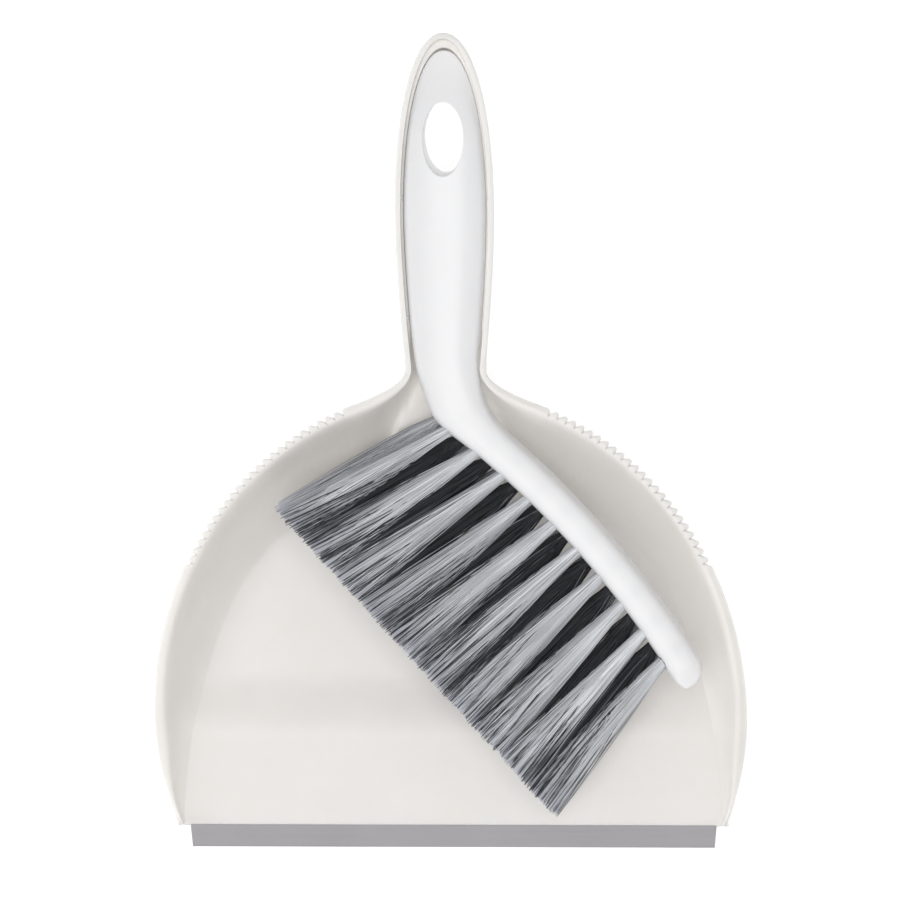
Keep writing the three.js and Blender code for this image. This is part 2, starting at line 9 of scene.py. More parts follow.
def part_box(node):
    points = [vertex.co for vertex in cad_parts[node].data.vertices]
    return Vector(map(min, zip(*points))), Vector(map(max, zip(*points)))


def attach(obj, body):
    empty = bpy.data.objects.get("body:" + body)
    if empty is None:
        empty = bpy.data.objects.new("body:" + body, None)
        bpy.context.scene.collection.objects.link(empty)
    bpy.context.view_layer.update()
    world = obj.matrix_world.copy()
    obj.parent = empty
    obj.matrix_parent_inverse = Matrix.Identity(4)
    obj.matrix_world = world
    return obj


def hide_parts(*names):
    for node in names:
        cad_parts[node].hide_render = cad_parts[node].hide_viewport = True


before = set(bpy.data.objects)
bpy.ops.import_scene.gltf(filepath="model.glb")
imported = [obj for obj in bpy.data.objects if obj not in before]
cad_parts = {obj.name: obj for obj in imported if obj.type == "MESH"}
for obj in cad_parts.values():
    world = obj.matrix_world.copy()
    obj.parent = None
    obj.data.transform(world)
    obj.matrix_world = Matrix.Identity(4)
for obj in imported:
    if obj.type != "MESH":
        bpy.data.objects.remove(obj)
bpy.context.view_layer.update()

# Shapes are worked out in millimetres, in the pan's own plan, and shifted by SHIFT_Y into the frame.
MM = 0.001
PAN_LOW, PAN_HIGH = (np.array(p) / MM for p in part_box("pan_body"))
LIP_LOW, LIP_HIGH = (np.array(p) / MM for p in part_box("pan_lip"))
FRONT_Y, LIP_FRONT_Y = -153.8, -163.0
SHIFT_Y = LIP_LOW[1] - LIP_FRONT_Y

# Pan outline
RIM_CENTRE_Y = -110.5
RIM_HALF = (PAN_HIGH[0] - PAN_LOW[0]) / 2
RIM_BACK = 131.0
RIM_FRONT = 110.0
NECK_FROM_Y, NECK_TO_Y = 14.0, 28.0
HANDLE_WIDE_Y = 89.0
HANDLE_HALF = 19.9
HANDLE_REACH = PAN_HIGH[1] - SHIFT_Y - HANDLE_WIDE_Y
SQUARENESS = 2.15

# Pan heights and walls
FLOOR_WALL, HANDLE_WALL = 2.4, 1.8
FRONT_TOP, CREST_TOP = 3.2, 7.0
CREST_Y, FLAT_FROM_Y, FLAT_TO_Y = -118.0, -92.0, -26.0
FLOOR_HALF = 107.8
FLANGE, HANDLE_FLANGE, FLANGE_DROOP = 5.0, 2.4, 1.8
CORNER_HEIGHT, CORNER_RUN = 5.0, 34.0
RIM_OVER_PLANE, RIM_LEVEL_Y, RIM_CURVE = 4.0, 30.0, 2.8
EDGE_ROUND, MOST_STRETCH = 0.7, 1.7
TROUGH_DEPTH, TROUGH_INSET = 13.5, 6.5
TROUGH_REACH, SPINE_REACH = 53.0, 40.0
LEDGE_FROM_Y, LEDGE_TO_Y = 32.0, 48.0
LEDGE_OUT = (0, 0.4, 0.66, 0.75, 0.79, 0.96, 1)
LEDGE_UP = (0, 0.03, 0.2, 0.5, 0.76, 0.78, 1)

# Comb
COMB_FROM_Y = 12.6
COMB_TEETH, COMB_PITCH, COMB_DEPTH = 24, 3.86, 3.0
COMB_ZONE = 6.0

# Hang hole
HOLE_Y, BRUSH_HOLE_Y, HOLE_HALF_X, HOLE_HALF_Y = 120.6, 120.0, 8.2, 14.4
HOLE_MARGIN, HOLE_FLARE, COLLAR_WALL = 0.8, 2.2, 2.4

# Brush, in its tilted plane
TILT = math.radians(6)
PLANE_Z = 35.9
BRUSH_TIP_REACH, BRUSH_GAP = 65.4, 3.7
HANDLE_THICK, BLOCK_THICK = 10.5, 12.0
FACE_FROM, FACE_TO, FACE_BOW = np.array([-5.8, 8.65]), np.array([88.2, -93.1]), 6.6
BLOCK_WIDE, BLOCK_SLOPE = 14.0, 1.2
END_WIDE, END_THICK, END_REACH = 12.8, 11.0, 8.8
HANDLE_SQUARE, BLOCK_SQUARE = 2.5, 4.0
BRUSH_WALL = 2.6
CLICK_RIBS_Y, INNER_RIBS_Y = (48.0, 95.7), (48.0, 64.0, 80.0, 96.0)
ROW_STEP, TUFT_THICK = 7.0, 3.1
ROOT_RADIUS, ROOT_HOLE, ROOT_DEPTH = 2.5, 2.6, 9.4
TIPS_FROM, TIPS_TO = np.array([-68.5, -27.2]), np.array([42.7, -150.7])

chance = np.random.default_rng(7)


def smooth(t):
    """0 below 0, 1 above 1, and 3t^2 - 2t^3 between."""
    t = np.clip(t, 0, 1)
    return t * t * (3 - 2 * t)


def lerp(a, b, t):
    """a at t = 0, b at t = 1, straight between."""
    return a + (b - a) * t


# ---------- camera, light and floor ----------

def look_from_above(target, distance, lean_degrees, width):
    """A long lens over the target, leaned towards +X, with +Y up the picture and a view this wide."""
    lean = math.radians(lean_degrees)
    back = Vector((math.sin(lean), 0, math.cos(lean)))
    up = Vector((0, 1, 0))
    right = up.cross(back)
    turn = Matrix((right, up, back)).transposed().to_4x4()
    data = bpy.data.cameras.new("camera")
    data.lens = data.sensor_width * distance / width
    data.clip_end = 20
    camera = bpy.data.objects.new("camera", data)
    camera.matrix_world = Matrix.Translation(Vector(target) + back * distance) @ turn
    bpy.context.collection.objects.link(camera)
    bpy.context.scene.camera = camera


def soft_light(name, way, distance, size, level):
    """A square area light facing the set; level is what it adds to a white surface that faces it."""
    data = bpy.data.lights.new(name, "AREA")
    data.size = size
    data.energy = level * (math.pi * distance) ** 2
    light = bpy.data.objects.new(name, data)
    light.location = Vector(way).normalized() * distance
    light.rotation_euler = Vector(way).to_track_quat("Z", "Y").to_euler()
    bpy.context.collection.objects.link(light)
    return light


def studio():
    """A white floor with its own light, a broad light overhead, a key from the front left, a pale sky."""
    world = bpy.data.worlds.new("sky")
    world.use_nodes = True
    world.node_tree.nodes["Background"].inputs["Color"].default_value = (1, 1, 1, 1)
    world.node_tree.nodes["Background"].inputs["Strength"].default_value = 0.46
    bpy.context.scene.world = world
    bpy.context.scene.view_settings.view_transform = "Standard"
    soft_light("overhead", (0.07, -0.05, 1), 2.6, 1.6, 0.38)
    soft_light("key", (-0.45, -0.75, 1.0), 2.0, 1.5, 0.2)
    floor = white_floor()
    only_floor = bpy.data.collections.new("only_floor")
    only_floor.objects.link(floor)
    lift = soft_light("floor_lift", (0, 0, 1), 2.5, 2.5, 0.6)
    lift.light_linking.receiver_collection = only_floor
    lift.light_linking.blocker_collection = only_floor


def wall_fill(pieces):
    """Soft lights from the left and right that only these pieces see, to open up the shade of the walls."""
    shown = bpy.data.collections.new("only_pan")
    for piece in pieces:
        shown.objects.link(piece)
    for name, way, level in (("left_fill", (-0.95, 0.1, 0.5), 0.42), ("right_fill", (0.95, -0.1, 0.5), 0.2)):
        fill = soft_light(name, way, 2.4, 1.6, level)
        fill.light_linking.receiver_collection = shown
        fill.light_linking.blocker_collection = bpy.data.collections["only_floor"]


def white_floor():
    """A wide flat sheet just under the set, nearly white."""
    half = 3.0
    mesh = bpy.data.meshes.new("floor")
    corners = [(-half, -half, 0), (half, -half, 0), (half, half, 0), (-half, half, 0)]
    mesh.from_pydata(corners, [], [(0, 1, 2, 3)])
    floor = bpy.data.objects.new("floor", mesh)
    floor.location.z = -0.0002
    bpy.context.collection.objects.link(floor)
    material = bpy.data.materials.new("floor_white")
    material.use_nodes = True
    shader = material.node_tree.nodes["Principled BSDF"]
    shader.inputs["Base Color"].default_value = (0.93, 0.93, 0.93, 1)
    shader.inputs["Roughness"].default_value = 0.7
    mesh.materials.append(material)
    return floor


# ---------- meshes ----------

def make_object(name, points, faces, body, stands_for, material, smooth_angle=40):
    """A piece from points in millimetres, on a body, shown in place of the CAD nodes it stands for."""
    mesh = bpy.data.meshes.new(name)
    mesh.from_pydata((np.asarray(points) * MM).tolist(), [], [list(map(int, face)) for face in faces])
    mesh.polygons.foreach_set("use_smooth", np.ones(len(mesh.polygons), bool))
    mesh.set_sharp_from_angle(angle=math.radians(smooth_angle))
    mesh.materials.append(material)
    piece = bpy.data.objects.new(name, mesh)
    bpy.context.collection.objects.link(piece)
    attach(piece, body)
    if stands_for:
        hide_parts(*stands_for)
    return piece


def grid_faces(rows, columns, closed=False):
    """Quads of a grid of points numbered row by row; closed joins the last column to the first."""
    across = columns if closed else columns - 1
    i, j = np.meshgrid(np.arange(rows - 1), np.arange(across), indexing="ij")
    k = (j + 1) % columns
    quads = [i * columns + j, i * columns + k, (i + 1) * columns + k, (i + 1) * columns + j]
    return np.stack(quads, -1).reshape(-1, 4)


def merged(points, quads):
    """Points that lie on each other made one, and quads that shrink to triangles split off."""
    _, first, number = np.unique(np.round(points, 4), axis=0, return_index=True, return_inverse=True)
    quads = number.reshape(-1)[quads]
    following = np.roll(quads, -1, axis=1)
    same = quads == following
    whole = quads[~same.any(axis=1)]
    once = same.sum(axis=1) == 1
    shrunk = quads[once]
    keep = ~same[once]
    triangles = shrunk[keep].reshape(-1, 3)
    return points[first], whole, triangles


# ---------- pan: the curves that shape it ----------

def plane_at(y):
    """Height of the brush's middle plane, which rises towards the handle."""
    return PLANE_Z + math.tan(TILT) * y


def oval_half(y):
    """Half width of the bowl's oval: one half ellipse to the front, a longer one to the back."""
    reach = np.where(y > RIM_CENTRE_Y, RIM_BACK, RIM_FRONT)
    return RIM_HALF * np.sqrt(np.clip(1 - ((y - RIM_CENTRE_Y) / reach) ** 2, 0, 1))


def handle_half(y):
    """Half width of the handle below its widest place, narrowing by a power curve."""
    return HANDLE_HALF - 0.0054 * np.maximum(0, HANDLE_WIDE_Y - y) ** 1.6


def rim_half(y):
    """Oval, then a cubic through the neck that keeps both slopes, then the handle."""
    span = NECK_TO_Y - NECK_FROM_Y
    t = np.clip((y - NECK_FROM_Y) / span, 0, 1)
    slope = (oval_half(NECK_FROM_Y) - oval_half(NECK_FROM_Y - 0.01)) / 0.01
    start = 2 * t**3 - 3 * t**2 + 1
    lean = t**3 - 2 * t**2 + t
    neck = oval_half(NECK_FROM_Y) * start + slope * span * lean + handle_half(NECK_TO_Y) * (1 - start)
    return np.where(y <= NECK_FROM_Y, oval_half(y), np.where(y >= NECK_TO_Y, handle_half(y), neck))


def rim_top(y):
    """Height of the rim: low front corners, a fast rise that dies out, and the brush plane's slope."""
    length = RIM_LEVEL_Y - FRONT_Y
    s = np.clip((y - FRONT_Y) / length, 0, 1)
    rise = plane_at(RIM_LEVEL_Y) + RIM_OVER_PLANE - CORNER_HEIGHT - math.tan(TILT) * length
    return CORNER_HEIGHT + math.tan(TILT) * (y - FRONT_Y) + rise * (1 - (1 - s) ** RIM_CURVE)


def floor_top(y):
    """Height of the floor: front ramp, crest, flat, then the rise into the handle's trough."""
    ramp = lerp(FRONT_TOP, CREST_TOP, (y - FRONT_Y) / (CREST_Y - FRONT_Y))
    fall = lerp(CREST_TOP, FLOOR_WALL, smooth((y - CREST_Y) / (FLAT_FROM_Y - CREST_Y)))
    trough = plane_at(y) - TROUGH_DEPTH + 2.5 * smooth((y - 4) / 20)
    rise = lerp(FLOOR_WALL, trough, smooth((y - FLAT_TO_Y) / 34))
    return np.where(y < CREST_Y, ramp, np.where(y < FLAT_FROM_Y, fall, rise))


def floor_half(y):
    """Half width of the floor: a rounded back, then a strip that narrows into the trough."""
    s = np.clip((y - FRONT_Y) / 128.6, 0, 1)
    bowl = FLOOR_HALF * (1 - s**1.6) ** 0.25
    strip = 9.8 + 17 * smooth(1 - (y + 15) / 45) + 7.2 * np.maximum(0, (-12 - y) / 14) ** 2
    return np.where(y <= FLAT_TO_Y, bowl, np.where(y < 30, strip, handle_half(y) - TROUGH_INSET))


def tip_curve(half, reach, turn):
    """A quarter of a squared-off ellipse from the handle's widest place to its end."""
    x = half * np.clip(np.cos(turn), 0, 1) ** (2 / SQUARENESS)
    y = HANDLE_WIDE_Y + reach * np.clip(np.sin(turn), 0, 1) ** (2 / SQUARENESS)
    return np.stack([x, y], -1)


def on_spine(y):
    """Points on the pan's middle line."""
    return np.stack([np.zeros_like(y), y], -1)


def comb_stations():
    """Rim places along the comb, at fixed shares of each tooth's pitch, and the notch depth at each."""
    y = np.linspace(COMB_FROM_Y, -70, 2400)
    along = np.concatenate([[0], np.cumsum(np.hypot(np.diff(rim_half(y)), np.diff(y)))])
    shares = np.array([0.0, 0.05, 0.11, 0.17, 0.23, 0.3, 0.53, 0.76, 0.95])
    depths = np.array([0.0, 0.06, 0.5, 0.94, 1.0, 0.95, 0.6, 0.25, 0.0])
    wanted = (0.3 + COMB_PITCH * (np.arange(COMB_TEETH)[:, None] + shares)).ravel()
    depth = COMB_DEPTH * np.tile(depths, COMB_TEETH)
    return np.interp(wanted, along, y)[::-1], depth[::-1]


def pan_lines():
    """Every crossing line's spine, floor edge and rim point, its share of trough, and its notch depth."""
    comb_y, comb_depth = comb_stations()
    before = lerp(FLAT_FROM_Y, comb_y[0], np.linspace(0, 1, 26)[1:-1])
    after = np.linspace(comb_y[-1], NECK_FROM_Y, 5)[1:]
    front = np.linspace(FRONT_Y, CREST_Y, 20)[:-1]
    crest = lerp(CREST_Y, FLAT_FROM_Y, np.linspace(0, 1, 22))
    bowl = np.concatenate([front, crest, before, comb_y, after])
    notch = np.zeros(len(bowl))
    first = len(front) + len(crest) + len(before)
    notch[first:first + len(comb_y)] = comb_depth
    t = np.clip((bowl - FLAT_FROM_Y) / (NECK_FROM_Y - FLAT_FROM_Y), 0, 1)
    run = FLAT_TO_Y - FLAT_FROM_Y
    steep = (NECK_FROM_Y - FLAT_FROM_Y) / run
    back = np.where(bowl > FLAT_FROM_Y, FLAT_FROM_Y + run * (steep * t + (1 - steep) * t * t), bowl)
    spine = [on_spine(back + 0.8 * smooth(t))]
    floor = [np.stack([floor_half(back), back], -1)]
    rim = [np.stack([rim_half(bowl), bowl], -1)]
    trough = [np.zeros(len(bowl))]

    t = np.linspace(0, 1, 46)[1:]
    y, rim_y = lerp(FLAT_TO_Y, 18, t), lerp(NECK_FROM_Y, NECK_TO_Y, t)
    spine.append(on_spine(lerp(FLAT_TO_Y + 0.8, 18, t)))
    floor.append(np.stack([floor_half(y), y], -1))
    rim.append(np.stack([rim_half(rim_y), rim_y], -1))
    trough.append(smooth(t))

    rim_y = np.linspace(NECK_TO_Y, HANDLE_WIDE_Y, 42)[1:]
    y = rim_y - 10 * (1 - smooth((rim_y - NECK_TO_Y) / 45))
    spine.append(on_spine(y))
    floor.append(np.stack([floor_half(y), y], -1))
    rim.append(np.stack([rim_half(rim_y), rim_y], -1))
    trough.append(np.ones(len(y)))

    turn = np.linspace(0, math.pi / 2, 72)[1:]
    spine.append(on_spine(tip_curve(1, SPINE_REACH, turn)[:, 1]))
    floor.append(tip_curve(HANDLE_HALF - TROUGH_INSET, TROUGH_REACH, turn))
    rim.append(tip_curve(HANDLE_HALF, HANDLE_REACH, turn))
    trough.append(np.ones(len(turn)))

    spine, floor, rim, trough = (np.concatenate(part) for part in (spine, floor, rim, trough))
    notch = np.concatenate([notch, np.zeros(len(rim) - len(notch))])
    return spine, settled(floor), rim, trough, notch


def settled(curve, passes=12):
    """A curve's points, each moved towards the middle of its neighbours a few times; its ends stay."""
    curve = curve.copy()
    for _ in range(passes):
        curve[1:-1] += 0.25 * (curve[:-2] - 2 * curve[1:-1] + curve[2:])
    return curve


def square_to(curve):
    """Unit way inward from a rim that runs from the front round the right side to the tip."""
    mirrored = np.concatenate([curve, [[-curve[-2, 0], curve[-2, 1]]]])
    along = np.gradient(mirrored, axis=0)[:-1]
    along /= np.linalg.norm(along, axis=1, keepdims=True)
    return np.stack([-along[:, 1], along[:, 0]], -1)


def pan_half():
    """Upper surface of the pan's right half: one row per crossing line, from the spine to the rim."""
    spine, floor, rim, trough, notch = pan_lines()
    front = lerp(1, FLANGE, smooth((rim[:, 1] - FRONT_Y) / CORNER_RUN))
    width = lerp(front, HANDLE_FLANGE, trough)
    inward = square_to(rim)
    wall = rim + inward * width[:, None]
    low, high = floor_top(floor[:, 1]), rim_top(rim[:, 1])
    edge = rim + inward * EDGE_ROUND
    droop = lerp(FLANGE_DROOP * smooth((rim[:, 1] - FRONT_Y) / CORNER_RUN), 0.3, trough)
    ledge = smooth((rim[:, 1] - LEDGE_FROM_Y) / (LEDGE_TO_Y - LEDGE_FROM_Y))
    columns = []
    for t in np.linspace(0, 1, 7)[:-1]:
        place = lerp(spine, floor, t)
        columns.append(np.column_stack([place, lerp(floor_top(spine[:, 1]), low, t)]))
    stops = np.linspace(0, 1, len(LEDGE_OUT))
    for t in np.linspace(0, 1, 25):
        bend = math.pi * t / 2
        trough_out = lerp(1 - (1 - t) ** 4, np.interp(t, stops, LEDGE_OUT), ledge)
        trough_up = lerp(t**1.25, np.interp(t, stops, LEDGE_UP), ledge)
        out = lerp(0.45 * t + 0.55 * math.sin(bend), trough_out, trough)
        up = lerp(0.45 * t + 0.55 * (1 - math.cos(bend)), trough_up, trough)
        place = lerp(floor, wall, out[:, None])
        columns.append(np.column_stack([place, lerp(low, high, up)]))
    for t in np.linspace(0, 1, 9)[1:]:
        share = t * np.linalg.norm(edge - wall, axis=1) / np.linalg.norm(rim - wall, axis=1)
        columns.append(np.column_stack([lerp(wall, edge, t), high - droop * share**2]))
    half = np.stack(columns, 1)
    roll = half.copy()
    for _ in range(14):
        roll[:, 1:-1] += 0.3 * (roll[:, :-2] - 2 * roll[:, 1:-1] + roll[:, 2:])
    share = smooth((np.arange(half.shape[1]) - 16) / 8)[None, :, None]
    return notched(lerp(half, roll, share * (1 - trough)[:, None, None]), notch)


def notched(half, notch):
    """Rows shortened from the rim inward by their notch: points near the rim slide along their row."""
    half = half.copy()
    for i in np.flatnonzero(notch):
        steps = np.linalg.norm(np.diff(half[i], axis=0), axis=1)[::-1]
        along = np.concatenate([[0], np.cumsum(steps)])
        slid = np.where(along < COMB_ZONE, notch[i] + along * (1 - notch[i] / COMB_ZONE), along)
        half[i] = np.stack([np.interp(slid, along, half[i, ::-1, k]) for k in range(3)], -1)[::-1]
    return half


def wall_moves(points, quads, wall):
    """How far each point moves square to all the faces round it, solved together by least squares."""
    a, b, c, d = (points[quads[:, k]] for k in range(4))
    normal = np.cross(c - a, d - b)
    normal /= np.maximum(np.linalg.norm(normal, axis=1, keepdims=True), 1e-9)
    matrix = np.zeros((len(points), 3, 3)) + np.eye(3) * 1e-3
    reach = np.zeros((len(points), 3))
    for k in range(4):
        np.add.at(matrix, quads[:, k], normal[:, :, None] * normal[:, None, :])
        np.add.at(reach, quads[:, k], normal)
    move = np.linalg.solve(matrix, reach[:, :, None])[:, :, 0]
    length = np.linalg.norm(move, axis=1, keepdims=True)
    return move / length * np.minimum(length, MOST_STRETCH) * wall[:, None], reach


def pan_shell(material):
    """The pan: an upper sheet, the same sheet moved square to itself by the wall, and a round rim."""
    half = pan_half()
    rows = half.shape[0]
    sheet = np.concatenate([half[:, :0:-1] * [-1, 1, 1], half], axis=1)
    columns = sheet.shape[1]
    points = sheet.reshape(-1, 3)
    quads = grid_faces(rows, columns)
    _, first, number = np.unique(np.round(points, 4), axis=0, return_index=True, return_inverse=True)
    number = number.reshape(-1)
    points, quads = points[first], number[quads]
    wall = lerp(FLOOR_WALL, HANDLE_WALL, smooth((points[:, 1] - 10) / 30))
    move, normal = wall_moves(points, quads, wall)
    below = points - move
    flat = np.abs(points[:, 2] - FLOOR_WALL) < 1e-6
    below[flat, 2] = 0

    order = np.arange(rows * columns).reshape(rows, columns)
    loop = np.concatenate([order[::-1, -1], order[0, -2::-1], order[1:-1, 0]])
    loop = number[loop]
    place = points[loop]
    along = np.roll(place, -1, axis=0) - np.roll(place, 1, axis=0)
    out = np.cross(normal[loop], along)
    out /= np.linalg.norm(out, axis=1, keepdims=True)
    out *= np.sign(np.sum(out * (place - [0, -60, 30]), axis=1))[:, None]
    ring = []
    for s in np.linspace(0, 1, 7)[1:-1]:
        bulge = EDGE_ROUND * math.sqrt(1 - (2 * s - 1) ** 2)
        ring.append(lerp(place, below[loop], s) + out * bulge)
    count = len(points)
    everything = np.concatenate([points, below, *ring])
    between = [2 * count + k * len(loop) + np.arange(len(loop)) for k in range(len(ring))]
    levels = [loop, *between, loop + count]
    strips = []
    for upper, lower in zip(levels, levels[1:]):
        strips.append(np.stack([np.roll(upper, -1), upper, lower, np.roll(lower, -1)], -1))
    faces = np.concatenate([quads, quads[:, ::-1] + count, *strips])
    everything[:, 1] += SHIFT_Y
    piece = make_object("pan_shell", everything, faces, "pan", ["pan_body"], material)
    cut(piece, [oval_tool(HOLE_MARGIN, 0, 90)])
    return piece


# ---------- cutting ----------

def tool_object(points, faces):
    """A closed cutting body, in millimetres."""
    mesh = bpy.data.meshes.new("tool")
    mesh.from_pydata((np.asarray(points) * MM).tolist(), [], [list(map(int, f)) for f in faces])
    tool = bpy.data.objects.new("tool", mesh)
    bpy.context.collection.objects.link(tool)
    return tool


def stack_tool(rings):
    """Rings of points, one above another, skinned and closed with a flat face at each end."""
    rings = np.asarray(rings)
    rows, columns = rings.shape[:2]
    faces = [list(f) for f in grid_faces(rows, columns, closed=True)]
    faces.append(list(range(columns))[::-1])
    faces.append(list(range((rows - 1) * columns, rows * columns)))
    return tool_object(rings.reshape(-1, 3), faces)


def oval_tool(margin, low, high, flare=0.0, tilted=False):
    """An oval prism for a hang hole, larger by the margin; its top widens by flare along a quarter round."""
    turn = np.linspace(0, 2 * math.pi, 97)[:-1]
    levels = [(low, 0), (high, 0)]
    if flare:
        bends = [(1 - math.cos(a), 1 - math.sin(a)) for a in np.linspace(math.pi / 2, 0.2, 8)]
        levels = [(low, 0), *[(high - flare * down, flare * out) for down, out in bends], (high, flare)]
    rings = []
    for z, f in levels:
        x = (HOLE_HALF_X + margin + f) * np.cos(turn)
        y = (BRUSH_HOLE_Y if tilted else HOLE_Y) + (HOLE_HALF_Y + margin + f) * np.sin(turn)
        rings.append(np.column_stack([x, y, np.full_like(x, z)]))
    rings = np.array(rings)
    if tilted:
        rings = in_plane(rings)
    else:
        rings[..., 1] += SHIFT_Y
    return stack_tool(rings)


def cut(piece, tools):
    """Takes the tools away from the piece and keeps the result as its own mesh."""
    for tool in tools:
        modifier = piece.modifiers.new("cut", "BOOLEAN")
        modifier.operation = "DIFFERENCE"
        modifier.solver = "EXACT"
        modifier.object = tool
    shown = piece.evaluated_get(bpy.context.evaluated_depsgraph_get())
    mesh = bpy.data.meshes.new_from_object(shown)
    piece.modifiers.clear()
    piece.data = mesh
    mesh.polygons.foreach_set("use_smooth", np.ones(len(mesh.polygons), bool))
    mesh.set_sharp_from_angle(angle=math.radians(40))
    for tool in tools:
        bpy.data.objects.remove(tool)


# ---------- pan: small pieces ----------

def lip_strip(material):
    """The soft lip: a thin wedge in section, run from side to side, with its ends drawn in."""
    front, back = LIP_FRONT_Y, FRONT_Y
    half = (LIP_HIGH[0] - LIP_LOW[0]) / 2
    section = np.array([
        [back + 3.9, 1.62], [back + 3.9, 2.38], [back - 0.35, 2.38], [back - 0.35, 2.95], [back - 0.5, 3.08],
        [back - 0.8, 3.05], [back - 2.2, 2.66], [back - 5, 1.86], [front + 1.2, 1.1], [front + 0.4, 0.88],
        [front + 0.1, 0.72], [front, 0.5], [front, 0.25], [front + 0.1, 0.08], [front + 0.3, 0.0],
        [back - 3, 0.0], [back - 0.3, 0.9], [back - 0.3, 1.62],
    ])
    shares = np.concatenate([[-1, -0.9985, -0.996], np.linspace(-0.99, 0.99, 60), [0.996, 0.9985, 1]])
    rings = []
    for s in shares:
        slant = half - 0.8 * np.clip((back - section[:, 0]) / (back - front), 0, 1)
        shrink = 0.35 * max(0.0, (abs(s) - 0.996) / 0.004) ** 2
        middle = section[:, 1].mean()
        z = section[:, 1] + (middle - section[:, 1]) * shrink
        rings.append(np.column_stack([s * slant, section[:, 0] + SHIFT_Y, z]))
    rings = np.array(rings)
    rows, columns = rings.shape[:2]
    faces = [list(f) for f in grid_faces(rows, columns, closed=True)[:, ::-1]]
    faces += [list(range(columns)), list(range((rows - 1) * columns, rows * columns))[::-1]]
    return make_object("lip_strip", rings.reshape(-1, 3), faces, "pan", ["pan_lip"], material)


def click_ribs(material):
    """Four small ribs inside the handle: each a rounded ridge, swelling to its middle and fading out."""
    ribs = []
    for i, y in enumerate(CLICK_RIBS_Y):
        for side in (-1, 1):
            wall = handle_half(y) - HANDLE_FLANGE
            top = rim_top(y)
            u, v = np.meshgrid(np.linspace(-1, 1, 13), np.linspace(0, 1, 15), indexing="ij")
            swell = np.sin(math.pi * v) ** 0.6 * np.cos(math.pi * u / 2) ** 0.5
            x = wall + 0.4 - 1.35 * swell
            points = np.stack([side * x, y + 1.3 * u + SHIFT_Y, top - 7 + 6.6 * v], -1)
            faces = grid_faces(13, 15)
            if side > 0:
                faces = faces[:, ::-1]
            back = points.copy()
            back[..., 0] = side * (wall + 0.9)
            count = 13 * 15
            edge = np.arange(count).reshape(13, 15)
            loop = np.concatenate([edge[:, 0], edge[-1, 1:], edge[-2::-1, -1], edge[0, -2:0:-1]])
            strip = np.stack([loop, np.roll(loop, -1), np.roll(loop, -1) + count, loop + count], -1)
            if side < 0:
                strip = strip[:, ::-1]
            faces = np.concatenate([faces, faces[:, ::-1] + count, strip])
            both = np.concatenate([points.reshape(-1, 3), back.reshape(-1, 3)])
            name = f"click_rib_{'left' if side < 0 else 'right'}_{i + 1}"
            ribs.append(make_object(name, both, faces, "pan", [], material))
    return ribs


# ---------- brush, in its own plane ----------

def in_plane(points):
    """Points of the brush's plane turned by its tilt about X and lifted into the frame."""
    points = np.asarray(points)
    x, y, z = points[..., 0], points[..., 1], points[..., 2]
    c, s = math.cos(TILT), math.sin(TILT)
    return np.stack([x, y * c - z * s + SHIFT_Y, y * s + z * c + PLANE_Z], -1)


def face_point(t):
    """Points of the tuft face's arc, the way out of the block's back there, and the way along."""
    chord = FACE_TO - FACE_FROM
    length = np.linalg.norm(chord)
    radius = (length / 2) ** 2 / (2 * FACE_BOW) + FACE_BOW / 2
    half = math.asin(length / 2 / radius)
    turn = lerp(-half, half, np.asarray(t, float))[..., None]
    along = chord / length
    back = np.array([-along[1], along[0]])
    place = FACE_FROM + along * (length / 2 + radius * np.sin(turn))
    place = place + back * radius * (np.cos(turn) - math.cos(half))
    out = back * np.cos(turn) + along * np.sin(turn)
    return place, out, np.stack([out[..., 1], -out[..., 0]], -1)


def brush_rows():
    """Rows of inner edge, outer edge, half thickness and squareness, from handle end to block end."""
    rows = []
    handle = HANDLE_HALF - BRUSH_GAP
    for s in np.linspace(0, 1, 22):
        turn = (1 - s**1.3) * math.pi / 2
        x, y = tip_curve(handle, BRUSH_TIP_REACH, turn)
        rows.append([-x, y, x, y, HANDLE_THICK * max(0.0, math.cos(turn)) ** 0.45, HANDLE_SQUARE])
    for y in np.arange(83, 36, -6.0):
        x = float(handle_half(y)) - BRUSH_GAP
        rows.append([-x, y, x, y, HANDLE_THICK, HANDLE_SQUARE])
    neck = [
        [-12.4, 31, 12.8, 31.5, 10.6], [-10.9, 25, 13.2, 26, 10.8], [-9.1, 19, 14, 20.6, 11],
        [-7.2, 13.8, 15, 16.6, 11.4], [-4.8, 8.8, 16.2, 13.6, 11.7], [0.4, 3.4, 17.4, 11.6, 12],
    ]
    rows += [[*row, lerp(HANDLE_SQUARE, 3.6, i / 5)] for i, row in enumerate(neck)]
    for t in np.linspace(0.13, 1, 13):
        place, out, _ = face_point(t)
        wide = lerp(BLOCK_WIDE, END_WIDE, t) + 1.4 * max(0, 0.2 - t) / 0.07
        rows.append([*place, *(place + out * wide), lerp(BLOCK_THICK, END_THICK, t), BLOCK_SQUARE])
    place, out, along = face_point(1.0)
    for turn in np.linspace(0, math.pi / 2, 14)[1:]:
        keep = math.cos(turn) ** 0.8 if turn < math.pi / 2 else 0.0
        ahead = place + along * END_REACH * math.sin(turn)
        ends = [ahead + out * (4.2 + (w - 4.2) * keep) for w in (0, END_WIDE)]
        rows.append([*ends[0], *ends[1], END_THICK * max(0.0, math.cos(turn)) ** 0.4, BLOCK_SQUARE])
    return np.array(rows)


def end_share(y):
    """Share by which the handle's top drops towards its end: a power curve from beside the hang hole."""
    return 0.88 * np.clip((y - 122) / 32, 0, 1) ** 1.1


